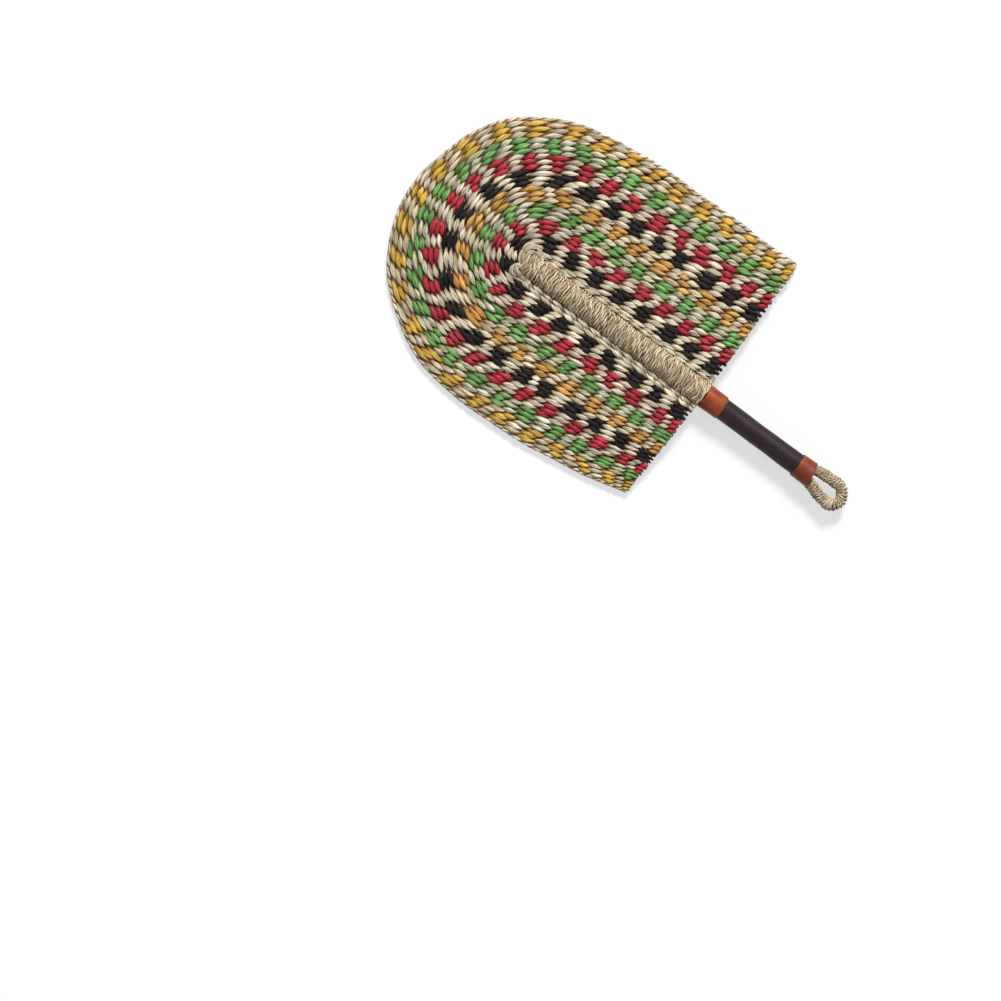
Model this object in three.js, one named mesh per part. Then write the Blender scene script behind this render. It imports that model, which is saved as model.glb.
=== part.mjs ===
import * as THREE from 'three';

// A hand fan of twined straw with a wrapped spine, a leather grip and a hanging loop, lying on its back.
// +X is the fan's right, +Y runs from the grip to the crown and +Z is up. Lengths are millimetres.
// Heights are counted along Y from the hem, the straight edge of the blade that the grip leaves.

// Room between neighbouring pieces
const clearance = 0.3;

// Spine: two half sticks that clamp the stakes, wound with straw
const coreWidth = 14.4;
const coreDepth = 11.4;
const coreHeadLength = 6.5;
const coreTongueGap = 0.3;
const wrapStrawWidth = 3.4;
const wrapStrawThickness = 1.9;
const wrapTurnGap = 0.7;

// Stakes that the rows are twined round
const stakeWidth = 2.6;
const stakeThickness = 1.4;
const crossStakeCount = 15;
const firstStakeHeight = 8.5;
const topStakeAboveShoulder = 4.3;
const leftStakeRise = 15;
const stakeEndSetback = 0.4;

// Twined rows: two natural rows beside the spine, then the check bands, three rows each.
// A row number n lies at start + pitch * n + gain * n * n from the spine.
const naturalRows = 2;
const rightNaturalWidth = 5.1;
const leftNaturalWidth = 6.3;
const rightRowPitch = 4.08;
const leftRowPitch = 4.12;
const crownRowPitch = 3.79;
const rightRowGain = 0.011;
const leftRowGain = 0;
const crownRowGain = 0.0125;
const rowsPerBand = 3;
const strandThickness = 2;
const rowGrooveDepth = 0.7;
const rimCordDiameter = 2.4;

// Outline: the legs run up to the shoulder, where the crown begins
const shoulderHeight = 161;
const rightHemFlare = 4.5;
const leftHemTuck = 20;

// Handle
const gripDiameter = 17.4;
const leatherThickness = 1.4;
const upperBandLength = 16.8;
const upperBandThickness = 1;
const gripShowingLength = 72.5;
const lowerBandLength = 15;
const lowerBandThickness = 1.3;
const gripTuckIntoBand = 10.5;
const loopLegInGrip = 9;

// Hanging loop
const loopLength = 33.8;
const loopLean = 3.2;
const loopEyeWidth = 7.4;
const loopStrandDiameter = 9.5;
const loopNeckGap = 0.6;
const loopStrawThickness = 2.1;
const loopTurns = 22;
const loopTurnGap = 0.5;

// Fineness of the faceted shapes
const leatherSides = 16;
const windingSteps = 10;
const legSteps = 3;
const crownSteps = 14;
const coreSteps = 8;
const hemTurnSteps = 4;
const rimSteps = 56;
const rimCordSides = 6;
const loopCoreSides = 8;
const loopCoreSteps = 30;

// The check bands from the spine outwards, with the number of stake gaps that each has round the crown
const bands = [
  { name: 'black_inner', colour: 0x1e1e28, crownGaps: 6 },
  { name: 'red_inner', colour: 0xbe1e37, crownGaps: 10 },
  { name: 'green_inner', colour: 0x55a050, crownGaps: 12 },
  { name: 'ochre_inner', colour: 0xcd8c28, crownGaps: 14 },
  { name: 'black_outer', colour: 0x1e1e28, crownGaps: 16 },
  { name: 'red_outer', colour: 0xbe1e37, crownGaps: 22 },
  { name: 'green_outer', colour: 0x55a050, crownGaps: 24 },
  { name: 'ochre_outer', colour: 0xd79b28, crownGaps: 24 },
];

// Finishes
const naturalStraw = 0xb9aa87;
const spineStraw = 0xaa9673;
const loopStraw = 0xc8b996;
const stickWood = 0xb08d5a;
const orangeLeather = 0xaa4b1e;
const brownLeather = 0x322025;
const strawRoughness = 0.8;
const stickRoughness = 0.75;
const leatherRoughness = 0.45;

// How the head of the core narrows: share of its length, and of its full width and depth
const coreHeadShape = [
  { rise: 0.45, width: 0.86, depth: 0.94 },
  { rise: 0.8, width: 0.58, depth: 0.75 },
  { rise: 1, width: 0.25, depth: 0.45 },
];

// Section of a laid straw, flat below and ridged above, as shares of its width and thickness
const strawOutline = [[-0.5, -0.5], [0.5, -0.5], [0.5, 0.05], [0, 0.5], [-0.5, 0.05]];

// Worked out from the sizes above
const rowCount = bands.length * rowsPerBand;
const coreHalfWidth = coreWidth / 2;
const coreHalfDepth = coreDepth / 2;
const stakeLayer = stakeThickness + 2 * clearance;
const weaveHalfThickness = stakeLayer / 2 + strandThickness;
const facetReach = 1 / Math.cos(Math.PI / windingSteps);
const wrapHalfWidth = (coreHalfWidth + clearance) * facetReach + wrapStrawThickness;
const naturalInnerEdge = wrapHalfWidth + clearance;
const gripRadius = gripDiameter / 2;
const gripBore = gripRadius - leatherThickness;
const bandBore = gripRadius + clearance;
const axisHeight = bandBore + lowerBandThickness;
const rimDrop = axisHeight - weaveHalfThickness;

const topStakeHeight = shoulderHeight + topStakeAboveShoulder;
const stakePitch = (topStakeHeight - firstStakeHeight) / (crossStakeCount - 1);
const wrapTurnPitch = wrapStrawWidth + wrapTurnGap;
const wrapTop = topStakeHeight + (stakePitch + wrapTurnPitch + wrapStrawWidth) / 2;
const wrapBottom = firstStakeHeight - (stakePitch + wrapTurnPitch + wrapStrawWidth) / 2;
const coreHeadTop = wrapTop + coreHeadLength;

const handleTop = wrapBottom - clearance;
const gripTop = handleTop - upperBandLength;
const gripBottom = gripTop - gripShowingLength;
const handleBottom = gripBottom - lowerBandLength;
const leatherBottom = gripBottom - gripTuckIntoBand + clearance;
const loopLegTop = handleBottom + loopLegInGrip;
const loopWrapRadius = loopStrandDiameter / 2;
const loopCoreRadius = (loopWrapRadius - loopStrawThickness) / facetReach - clearance;
const loopHalfWidth = loopEyeWidth / 2 + loopWrapRadius;
const loopNeckHalfWidth = loopNeckGap / 2 + loopWrapRadius;
const loopCentreHeight = handleBottom - loopLength + loopWrapRadius + loopHalfWidth;

// Helpers

function ringsToGeometry(rings, endless = false) {
  const sides = rings[0].length;
  const positions = rings.flat().flatMap((point) => [point.x, point.y, point.z]);
  const index = [];
  const joins = endless ? rings.length : rings.length - 1;
  for (let ring = 0; ring < joins; ring += 1) {
    const here = ring * sides;
    const next = ((ring + 1) % rings.length) * sides;
    for (let side = 0; side < sides; side += 1) {
      const after = (side + 1) % sides;
      index.push(here + side, next + side, next + after);
      index.push(here + side, next + after, here + after);
    }
  }
  if (!endless) {
    const last = (rings.length - 1) * sides;
    for (let side = 1; side < sides - 1; side += 1) {
      index.push(0, side, side + 1);
      index.push(last, last + side + 1, last + side);
    }
  }
  const geometry = new THREE.BufferGeometry();
  geometry.setAttribute('position', new THREE.Float32BufferAttribute(positions, 3));
  geometry.setIndex(signedVolume(rings.flat(), index) > 0 ? index : index.reverse());
  geometry.computeVertexNormals();
  return geometry;
}

function signedVolume(points, index) {
  let volume = 0;
  for (let corner = 0; corner < index.length; corner += 3) {
    const [a, b, c] = index.slice(corner, corner + 3).map((number) => points[number]);
    volume += a.dot(b.clone().cross(c)) / 6;
  }
  return volume;
}

const up = new THREE.Vector3(0, 0, 1);
const fan = new THREE.Group();

function addPiece(name, geometry, color, roughness) {
  const material = new THREE.MeshStandardMaterial({ color, roughness, metalness: 0 });
  const mesh = new THREE.Mesh(geometry, material);
  mesh.name = name;
  fan.add(mesh);
  return mesh;
}

// The blade as a surface: a row number and a place along the U give a point in the middle of the weave.

const sides = {
  right: {
    sign: 1,
    start: naturalInnerEdge + rightNaturalWidth,
    pitch: rightRowPitch,
    gain: rightRowGain,
    hemChange: rightHemFlare,
  },
  left: {
    sign: -1,
    start: naturalInnerEdge + leftNaturalWidth,
    pitch: leftRowPitch,
    gain: leftRowGain,
    hemChange: -leftHemTuck,
  },
};

function share(row) {
  return Math.max(0, row) / rowCount;
}

function sideReach(side, row) {
  if (row < 0) {
    const naturalShare = 1 + row / naturalRows;
    return naturalInnerEdge + (side.start - naturalInnerEdge) * naturalShare;
  }
  return side.start + side.pitch * row + side.gain * row * row;
}

function crownReach(row) {
  const start = coreHeadTop + clearance - shoulderHeight;
  return start + crownRowPitch * row + crownRowGain * row * row;
}

function weaveHeight(row) {
  return axisHeight - rimDrop * share(row) ** 2;
}

function legPoint(side, height, row, outward = 0) {
  const below = 1 - height / shoulderHeight;
  const reach = sideReach(side, row) + outward;
  const x = reach + side.hemChange * share(row) ** 2 * below ** 2;
  return new THREE.Vector3(side.sign * x, height, weaveHeight(row));
}

function crownPoint(angle, row, outward = 0) {
  const side = angle < Math.PI / 2 ? sides.right : sides.left;
  const x = Math.cos(angle) * (sideReach(side, row) + outward);
  const y = shoulderHeight + Math.sin(angle) * (crownReach(row) + outward);
  return new THREE.Vector3(x, y, weaveHeight(row));
}

function pointAtHeight(side, height, row) {
  if (height <= shoulderHeight) {
    return legPoint(side, height, row);
  }
  const rise = Math.asin((height - shoulderHeight) / crownReach(row));
  return crownPoint(side.sign > 0 ? rise : Math.PI - rise, row);
}

// Twined rows: an endless sleeve round the stakes, front and back, closed by the turns at the hem.

function rowSection(firstRow, rows) {
  const inside = stakeLayer / 2;
  const crest = weaveHalfThickness;
  const valley = crest - rowGrooveDepth;
  const edge = clearance / 2;
  const section = [
    { row: firstRow, shift: edge, off: inside },
    { row: firstRow, shift: edge, off: valley },
  ];
  for (let row = 0; row < rows; row += 1) {
    const last = row === rows - 1;
    section.push({ row: firstRow + row + 0.5, shift: 0, off: crest });
    section.push({ row: firstRow + row + 1, shift: last ? -edge : 0, off: valley });
  }
  section.push({ row: firstRow + rows, shift: -edge, off: inside });
  return section;
}

function sleeveRings(section, stations, turnAtEnd, turnAtStart) {
  const ring = (station, direction) =>
    section.map((spot) => station(spot.row, spot.shift).addScaledVector(direction, spot.off));
  const turn = (station, towards) => {
    const steps = [];
    for (let step = 1; step < hemTurnSteps; step += 1) {
      const angle = (Math.PI * step) / hemTurnSteps;
      const direction = up.clone().multiplyScalar(Math.cos(angle));
      steps.push(ring(station, direction.addScaledVector(towards, Math.sin(angle))));
    }
    return steps;
  };
  const down = up.clone().negate();
  const front = stations.map((station) => ring(station, up));
  const back = stations.map((station) => ring(station, down)).reverse();
  const endTurn = turn(stations[stations.length - 1], turnAtEnd);
  const startTurn = turn(stations[0], turnAtStart).reverse();
  return [...front, ...endTurn, ...back, ...startTurn];
}

function legStations(side, from, to) {
  const stations = [];
  for (let step = 0; step <= legSteps; step += 1) {
    const height = from + ((to - from) * step) / legSteps;
    stations.push((row, shift) => legPoint(side, height, row, shift));
  }
  return stations;
}

function bandStations() {
  const hem = weaveHalfThickness;
  const stations = legStations(sides.right, hem, shoulderHeight);
  for (let step = 1; step < crownSteps; step += 1) {
    const angle = (Math.PI * step) / crownSteps;
    stations.push((row, shift) => crownPoint(angle, row, shift));
  }
  return [...stations, ...legStations(sides.left, shoulderHeight, hem)];
}

const towardsHem = new THREE.Vector3(0, -1, 0);
const towardsCrown = new THREE.Vector3(0, 1, 0);

bands.forEach((band, number) => {
  const section = rowSection(number * rowsPerBand, rowsPerBand);
  const rings = sleeveRings(section, bandStations(), towardsHem, towardsHem);
  addPiece(`weft_${band.name}`, ringsToGeometry(rings, true), band.colour, strawRoughness);
});

for (const [name, side] of Object.entries(sides)) {
  const stations = legStations(side, weaveHalfThickness, shoulderHeight - weaveHalfThickness);
  const section = rowSection(-naturalRows, naturalRows);
  const rings = sleeveRings(section, stations, towardsCrown, towardsHem);
  addPiece(`weft_natural_${name}`, ringsToGeometry(rings, true), naturalStraw, strawRoughness);
}

// Stakes: flat straws that follow the middle of the weave.

function strip(points, width, thickness) {
  const rings = points.map((point, number) => {
    const before = points[Math.max(0, number - 1)];
    const after = points[Math.min(points.length - 1, number + 1)];
    const along = after.clone().sub(before).setZ(0).normalize();
    const across = up.clone().cross(along).multiplyScalar(width / 2);
    const lift = up.clone().multiplyScalar(thickness / 2);
    return [
      point.clone().sub(across).sub(lift),
      point.clone().add(across).sub(lift),
      point.clone().add(across).add(lift),
      point.clone().sub(across).add(lift),
    ];
  });
  return ringsToGeometry(rings);
}

const lastRow = rowCount - stakeEndSetback / crownRowPitch;

function crossStakeSide(side, number) {
  const height = firstStakeHeight + stakePitch * number;
  const lift = (number / (crossStakeCount - 1)) ** 2;
  const points = [];
  for (let row = 0; row <= rowCount; row += 2 * rowsPerBand) {
    const reached = Math.min(row, lastRow);
    const rise = side.sign < 0 ? leftStakeRise * lift * share(reached) ** 2 : 0;
    points.push(pointAtHeight(side, height + rise, reached));
  }
  return points;
}

for (let number = 0; number < crossStakeCount; number += 1) {
  const right = crossStakeSide(sides.right, number);
  const left = crossStakeSide(sides.left, number);
  const geometry = strip([...right.reverse(), ...left], stakeWidth, stakeThickness);
  const label = String(number + 1).padStart(2, '0');
  addPiece(`cross_stake_${label}`, geometry, stickWood, stickRoughness);
}

// Round the crown the stakes of each band share out the arc between the two ends of the top cross stake.
function crownStakePoint(row, place) {
  const reach = crownReach(row);
  const rightRise = Math.asin(topStakeAboveShoulder / reach);
  const leftRise = Math.asin((topStakeAboveShoulder + leftStakeRise * share(row) ** 2) / reach);
  return crownPoint(rightRise + (Math.PI - rightRise - leftRise) * place, row);
}

const crownStakes = [];
bands.forEach((band, number) => {
  const total = band.crownGaps - 1;
  const added = total - crownStakes.length;
  for (let extra = 0; extra < added; extra += 1) {
    const place = Math.round(((extra + 0.5) * total) / added - 0.5);
    crownStakes.splice(place, 0, []);
  }
  const firstRow = number * rowsPerBand;
  crownStakes.forEach((points, index) => {
    const place = (index + 1) / band.crownGaps;
    if (points.length === 0) {
      points.push(crownStakePoint(firstRow + clearance, place));
    }
    points.push(crownStakePoint(firstRow + rowsPerBand / 2, place));
    if (number === bands.length - 1) {
      points.push(crownStakePoint(lastRow, place));
    }
  });
});
crownStakes.forEach((points, index) => {
  const label = String(index + 1).padStart(2, '0');
  const geometry = strip(points, stakeWidth, stakeThickness);
  addPiece(`crown_stake_${label}`, geometry, stickWood, stickRoughness);
});

// Rim cord: one round cord along the edge of the outer band, from hem to hem.

class RimCurve extends THREE.Curve {
  getPoint(t, target = new THREE.Vector3()) {
    const outward = (clearance + rimCordDiameter) / 2;
    const ends = rimCordDiameter / 2;
    const third = t * 3;
    if (third < 1) {
      const height = ends + (shoulderHeight - ends) * third;
      return target.copy(legPoint(sides.right, height, rowCount, outward));
    }
    if (third <= 2) {
      return target.copy(crownPoint(Math.PI * (third - 1), rowCount, outward));
    }
    const height = ends + (shoulderHeight - ends) * (3 - third);
    return target.copy(legPoint(sides.left, height, rowCount, outward));
  }
}

function roundSection(radius, sideCount) {
  const corners = [];
  for (let side = 0; side < sideCount; side += 1) {
    const angle = (2 * Math.PI * side) / sideCount;
    corners.push(new THREE.Vector2(radius * Math.cos(angle), radius * Math.sin(angle)));
  }
  return new THREE.Shape(corners);
}

function cord(path, radius, sideCount, steps) {
  return new THREE.ExtrudeGeometry(roundSection(radius, sideCount), { steps, extrudePath: path });
}

const rimCord = cord(new RimCurve(), rimCordDiameter / 2, rimCordSides, rimSteps);
addPiece('rim_cord', rimCord, naturalStraw, strawRoughness);

// Core halves: half-oval sticks that clamp the stakes along the spine and fill the grip below it.

function halfOval(height, halfWidth, halfDepth, flat, face) {
  const ring = [];
  const lowest = Math.asin(flat / halfDepth);
  for (let step = 0; step <= coreSteps; step += 1) {
    const angle = lowest + ((Math.PI - 2 * lowest) * step) / coreSteps;
    const z = axisHeight + face * halfDepth * Math.sin(angle);
    ring.push(new THREE.Vector3(halfWidth * Math.cos(angle), height, z));
  }
  return ring;
}

function coreHalf(face) {
  const inGrip = gripBore - clearance;
  const tongue = coreTongueGap / 2;
  const layer = stakeLayer / 2;
  const head = coreHeadShape.map(({ rise, width, depth }) => {
    const height = wrapTop + coreHeadLength * rise;
    return halfOval(height, coreHalfWidth * width, coreHalfDepth * depth, layer, face);
  });
  return ringsToGeometry([
    halfOval(loopLegTop + clearance, inGrip, inGrip, tongue, face),
    halfOval(handleTop, inGrip, inGrip, tongue, face),
    halfOval(wrapBottom, coreHalfWidth, coreHalfDepth, layer, face),
    halfOval(wrapTop, coreHalfWidth, coreHalfDepth, layer, face),
    ...head,
  ]);
}

addPiece('core_front', coreHalf(1), stickWood, stickRoughness);
addPiece('core_back', coreHalf(-1), stickWood, stickRoughness);

// Windings: a flattened straw laid ring by ring round its core, without a break.

function strawRing(centre, along, out, width, thickness) {
  return strawOutline.map(([a, b]) =>
    centre.clone().addScaledVector(along, a * width).addScaledVector(out, b * thickness));
}

// Adds a straight run of the given length, square to the ring, before the first ring and after the last one.
function withStraightEnds(rings, length) {
  const moved = (ring, neighbour) => {
    const step = ring[1].clone().sub(ring[0]).cross(ring[2].clone().sub(ring[0])).setLength(length);
    if (step.dot(ring[0].clone().sub(neighbour[0])) < 0) {
      step.negate();
    }
    return ring.map((point) => point.clone().add(step));
  };
  const last = rings.length - 1;
  return [moved(rings[0], rings[1]), ...rings, moved(rings[last], rings[last - 1])];
}

function leastGap(rings, stepsApart) {
  let least = Infinity;
  for (let one = 0; one < rings.length; one += 1) {
    for (let other = one + stepsApart; other < rings.length; other += 1) {
      for (const point of rings[one]) {
        for (const target of rings[other]) {
          least = Math.min(least, point.distanceTo(target));
        }
      }
    }
  }
  return least;
}

function addWinding(name, rings, straightEnd, color) {
  const whole = withStraightEnds(rings, straightEnd);
  const gap = leastGap(whole, windingSteps - 2);
  console.log(`${name}: least gap to itself ${gap.toFixed(2)} mm`);
  addPiece(name, ringsToGeometry(whole), color, strawRoughness);
}

// Two turns lie in each gap between stakes. A turn is level over the front and moves on across the back.
function wrapTurnHeight(turn) {
  const gapMiddle = firstStakeHeight + stakePitch * (Math.floor(turn / 2) - 0.5);
  return gapMiddle + (turn % 2 === 0 ? -0.5 : 0.5) * wrapTurnPitch;
}

function spineWrapRings(firstTurn, turns) {
  const halfWidth = wrapHalfWidth - wrapStrawThickness / 2;
  const halfDepth = (coreHalfDepth + clearance) * facetReach + wrapStrawThickness / 2;
  const rings = [];
  for (let step = 0; step <= (turns - 0.5) * windingSteps; step += 1) {
    const around = step / windingSteps;
    const angle = 2 * Math.PI * around;
    const turn = Math.floor(around);
    const across = THREE.MathUtils.smoothstep(around - turn, 0.5, 1);
    const from = wrapTurnHeight(firstTurn + turn);
    const to = wrapTurnHeight(firstTurn + turn + 1);
    const centre = new THREE.Vector3(
      halfWidth * Math.cos(angle),
      from + (to - from) * across,
      axisHeight + halfDepth * Math.sin(angle),
    );
    const out = new THREE.Vector3(Math.cos(angle) / halfWidth, 0, Math.sin(angle) / halfDepth);
    rings.push(strawRing(centre, towardsCrown, out.normalize(), wrapStrawWidth, wrapStrawThickness));
  }
  return rings;
}

const spineTurns = 2 * (crossStakeCount + 1);
const lowerTurns = 2 * Math.floor(spineTurns / 4);
const lowerRings = spineWrapRings(0, lowerTurns);
const upperRings = spineWrapRings(lowerTurns, spineTurns - lowerTurns);
addWinding('spine_wrap_lower', lowerRings, wrapStrawWidth, spineStraw);
addWinding('spine_wrap_upper', upperRings, wrapStrawWidth, spineStraw);

// Handle: a leather sleeve on the core, with an orange band over each end.

function sleeve(bore, outside, top, bottom) {
  const corner = 1 / Math.cos(Math.PI / leatherSides);
  const profile = [
    new THREE.Vector2(bore * corner, bottom),
    new THREE.Vector2(outside * corner, bottom),
    new THREE.Vector2(outside * corner, top),
    new THREE.Vector2(bore * corner, top),
    new THREE.Vector2(bore * corner, bottom),
  ];
  const geometry = new THREE.LatheGeometry(profile, leatherSides, Math.PI / leatherSides);
  return geometry.translate(0, 0, axisHeight);
}

const upperBandOutside = bandBore + upperBandThickness;
const lowerBandOutside = bandBore + lowerBandThickness;
const upperBand = sleeve(bandBore, upperBandOutside, handleTop, gripTop);
const grip = sleeve(gripBore, gripRadius, handleTop, leatherBottom);
const lowerBand = sleeve(bandBore, lowerBandOutside, gripBottom, handleBottom);
addPiece('upper_band', upperBand, orangeLeather, leatherRoughness);
addPiece('grip_leather', grip, brownLeather, leatherRoughness);
addPiece('lower_band', lowerBand, orangeLeather, leatherRoughness);

// Hanging loop: a bent bundle whose legs go up into the grip, wound with straw from neck to neck.

// The loop leans to the left, the more the further it is below the handle.
function leaned(x, y) {
  const below = Math.max(0, handleBottom - y) / loopLength;
  return new THREE.Vector3(x - loopLean * below, y, axisHeight);
}

function loopPath() {
  const leg = [
    [gripBore / 2, loopLegTop],
    [gripBore / 2, handleBottom + loopLegInGrip / 2],
    [loopNeckHalfWidth, handleBottom - clearance],
    [(loopNeckHalfWidth + 2 * loopHalfWidth) / 3, (handleBottom + loopCentreHeight) / 2],
  ];
  const arcSteps = 6;
  const arc = [];
  for (let step = 0; step <= arcSteps; step += 1) {
    const angle = (Math.PI * step) / arcSteps;
    arc.push([loopHalfWidth * Math.cos(angle), loopCentreHeight - loopHalfWidth * Math.sin(angle)]);
  }
  const mirrored = leg.map(([x, y]) => [-x, y]).reverse();
  const points = [...leg, ...arc, ...mirrored].map(([x, y]) => leaned(x, y));
  return new THREE.CatmullRomCurve3(points, false, 'centripetal');
}

const loop = loopPath();
const loopCore = cord(loop, loopCoreRadius, loopCoreSides, loopCoreSteps);
addPiece('loop_core', loopCore, stickWood, stickRoughness);

// Follows the loop from one of its ends until it is clear of the handle, and gives the share of its length.
function loopWrapStart(fromEnd) {
  const first = handleBottom - clearance - loopStrawThickness;
  const searchStep = 0.001;
  let start = 0;
  while (loop.getPointAt(fromEnd ? 1 - start : start).y > first) {
    start += searchStep;
  }
  return start;
}

function loopWrapRings() {
  const start = loopWrapStart(false);
  const wound = 1 - loopWrapStart(true) - start;
  const steps = loopTurns * windingSteps;
  const base = loopWrapRadius - loopStrawThickness;
  const places = [];
  for (let step = -windingSteps; step <= steps + windingSteps; step += 1) {
    const t = THREE.MathUtils.clamp(start + (wound * step) / steps, 0, 1);
    const along = loop.getTangentAt(t);
    const aside = along.clone().cross(up);
    const angle = 2 * Math.PI * (step / windingSteps - 0.25);
    const out = aside.multiplyScalar(Math.cos(angle)).addScaledVector(up, Math.sin(angle));
    const at = (height) => loop.getPointAt(t).addScaledVector(out, base + height * loopStrawThickness);
    places.push({ foot: at(0), centre: at(0.5), shoulder: at(0.6), along, out });
  }
  return places.slice(windingSteps, places.length - windingSteps).map((place, step) => {
    const neighbours = [places[step], places[step + 2 * windingSteps]];
    const spacings = neighbours.flatMap((other) => [
      place.foot.distanceTo(other.foot),
      place.shoulder.distanceTo(other.shoulder),
    ]);
    const width = Math.min(...spacings) - loopTurnGap;
    return strawRing(place.centre, place.along, place.out, width, loopStrawThickness);
  });
}

addWinding('loop_wrap', loopWrapRings(), loopStrawThickness, loopStraw);

// The origin lies under the middle of the whole fan, on the surface that it rests on.

const box = new THREE.Box3().setFromObject(fan);
fan.position.set(-(box.min.x + box.max.x) / 2, -(box.min.y + box.max.y) / 2, -box.min.z);

export default fan;
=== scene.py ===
# %% [markdown]
# # A fan twined from straw
# The fan is a U-shaped blade of straw rows on a wrapped spine, with a leather grip and a hanging loop. The
# solids of the fan arrive as a fixed frame. They give the sizes, and this notebook adds the straw and the
# leather that the eye sees. Nothing of the fan turns or folds, so every piece rides on one body, "root".
#
# Loading comes first, because every later cell measures the frame.

import math

import bmesh
import bpy
import numpy as np
from mathutils import Matrix, Vector, noise


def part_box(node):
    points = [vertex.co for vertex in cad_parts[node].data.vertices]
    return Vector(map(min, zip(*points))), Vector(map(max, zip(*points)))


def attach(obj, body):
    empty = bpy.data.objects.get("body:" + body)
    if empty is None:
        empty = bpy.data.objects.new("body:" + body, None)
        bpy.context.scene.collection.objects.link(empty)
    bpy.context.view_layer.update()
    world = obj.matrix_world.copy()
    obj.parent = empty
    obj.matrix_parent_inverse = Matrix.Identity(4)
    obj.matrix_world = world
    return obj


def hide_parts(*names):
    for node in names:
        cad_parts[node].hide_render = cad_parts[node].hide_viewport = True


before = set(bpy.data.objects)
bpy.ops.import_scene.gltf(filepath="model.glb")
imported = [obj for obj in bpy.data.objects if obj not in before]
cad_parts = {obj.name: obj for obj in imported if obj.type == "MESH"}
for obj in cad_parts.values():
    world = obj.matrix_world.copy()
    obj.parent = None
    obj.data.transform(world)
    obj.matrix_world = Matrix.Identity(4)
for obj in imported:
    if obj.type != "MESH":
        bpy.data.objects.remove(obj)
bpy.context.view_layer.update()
BODY = "root"
print("solids in the frame:", len(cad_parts))

# %% [markdown]
# ## One set of measures
# The straw is laid out in millimetres, counted from the spine in x, from the hem of the blade in y and from
# the table in z. Typing the place of the spine a second time would go stale when the frame changes, so it
# is measured: the grip is centred on the spine, and the innermost band ends at the hem. Neighbouring solids
# keep a clearance, and the edge of a row is taken to be in the middle of it.

# %% Find the spine and the hem
MM = 0.001
TAU = 2 * math.pi
CLEARANCE = 0.3
grip_low, grip_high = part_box("grip_leather")
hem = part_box("weft_black_inner")[0].y
origin = np.array([(grip_low.x + grip_high.x) / 2, hem, 0])
axis_height = (grip_low.z + grip_high.z) / 2 / MM


def to_frame(points):
    """Turns millimetres from spine, hem and table into metres of the frame."""
    return np.asarray(points) * MM + origin


def side_edges(node, sign):
    """How far a solid's near and far edge lie from the spine, in millimetres."""
    low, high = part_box(node)
    edges = [sign * (edge - origin[0]) / MM for edge in (low.x, high.x)]
    return min(edges) - CLEARANCE / 2, max(edges) + CLEARANCE / 2


NATURAL_EDGE, RIGHT_START = side_edges("weft_natural_right", 1)
LEFT_START = side_edges("weft_natural_left", -1)[1]
print("spine at x", round(origin[0], 4), "hem at y", round(origin[1], 4), "axis", round(axis_height, 2))
print("bands start at", round(RIGHT_START, 2), "on the right and", round(LEFT_START, 2), "on the left")

# %% [markdown]
# ## The blade as a map
# Every row of the blade is a long U: up the right leg, round the crown and down the left leg. A row could
# be drawn as its own curve, but twenty-four curves would drift apart. One function that turns a row number
# and a place along the U into a point keeps the rows side by side everywhere.
#
# The place is counted in stakes, the flat straws that the rows are twined round, so every stitch can be
# named by the stake it lies on. Rows have a pitch, and a gain that sets them further apart outwards. The
# right hem flares, the left one is tucked in, and the edge of the blade drops until it lies on the table.

# %% The map from row and stake to a point
ROWS = 24
NATURAL_ROWS = 2
OUTER_GAPS = 24
RIGHT_PITCH, LEFT_PITCH = 4.08, 4.12
RIGHT_GAIN = 0.011
CROWN_START, CROWN_PITCH, CROWN_GAIN = 20.45, 3.79, 0.0125
SHOULDER = 161
HEM_FLARE, HEM_TUCK = 4.5, 20
LAST_CROSS = 14
FIRST_STAKE, STAKE_PITCH = 8.5, 11.2
TOP_ABOVE_SHOULDER, LEFT_RISE = 4.3, 15
RIM_DROP = 6.8


def left_hem(gaps):
    """The number of the last stake, at the left hem, with that many stake gaps round the crown."""
    return 2 * LAST_CROSS + gaps


def out_share(row):
    return np.clip(row, 0, None) / ROWS


def side_reach(row, left):
    """Half width of the U at a row number, on its left or right leg."""
    start = np.where(left, LEFT_START, RIGHT_START)
    natural = NATURAL_EDGE + (start - NATURAL_EDGE) * (1 + row / NATURAL_ROWS)
    twined = np.where(left, LEFT_PITCH * row, RIGHT_PITCH * row + RIGHT_GAIN * row**2)
    return np.where(row < 0, natural, start + twined)


def crown_reach(row):
    return CROWN_START + CROWN_PITCH * row + CROWN_GAIN * row**2


# %% [markdown]
# A blade made by hand isn't a perfect U. Its edge swells and sinks by a millimetre or two. The list gives
# places along the U, from 0 at the right hem, 1 and 2 at the shoulders to 3 at the left hem, and the
# swelling.

# %% Swell the edge and place the points
EDGE_SWELL = [
    (0, -0.6), (0.2, -1), (0.33, 0.9), (0.46, 2.2), (0.58, 0.7), (0.72, 1.4), (0.84, 0.6), (1.05, -2.2),
    (1.16, -1.5), (1.28, 1.4), (1.38, 0.4), (1.44, -1.8), (1.5, -0.7), (1.6, -0.9), (1.86, -2.8), (2.2, 0),
    (2.5, 0.6), (3, -0.8),
]


def edge_swell(row, place, gaps, left, stake):
    leg = np.clip(stake, 0, LAST_CROSS) / LAST_CROSS
    crown = 1 + (place - LAST_CROSS) / gaps
    along = np.where(stake > LAST_CROSS, crown, np.where(left, 3 - leg, leg))
    return np.interp(along, *zip(*EDGE_SWELL)) * out_share(row) ** 2


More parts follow.
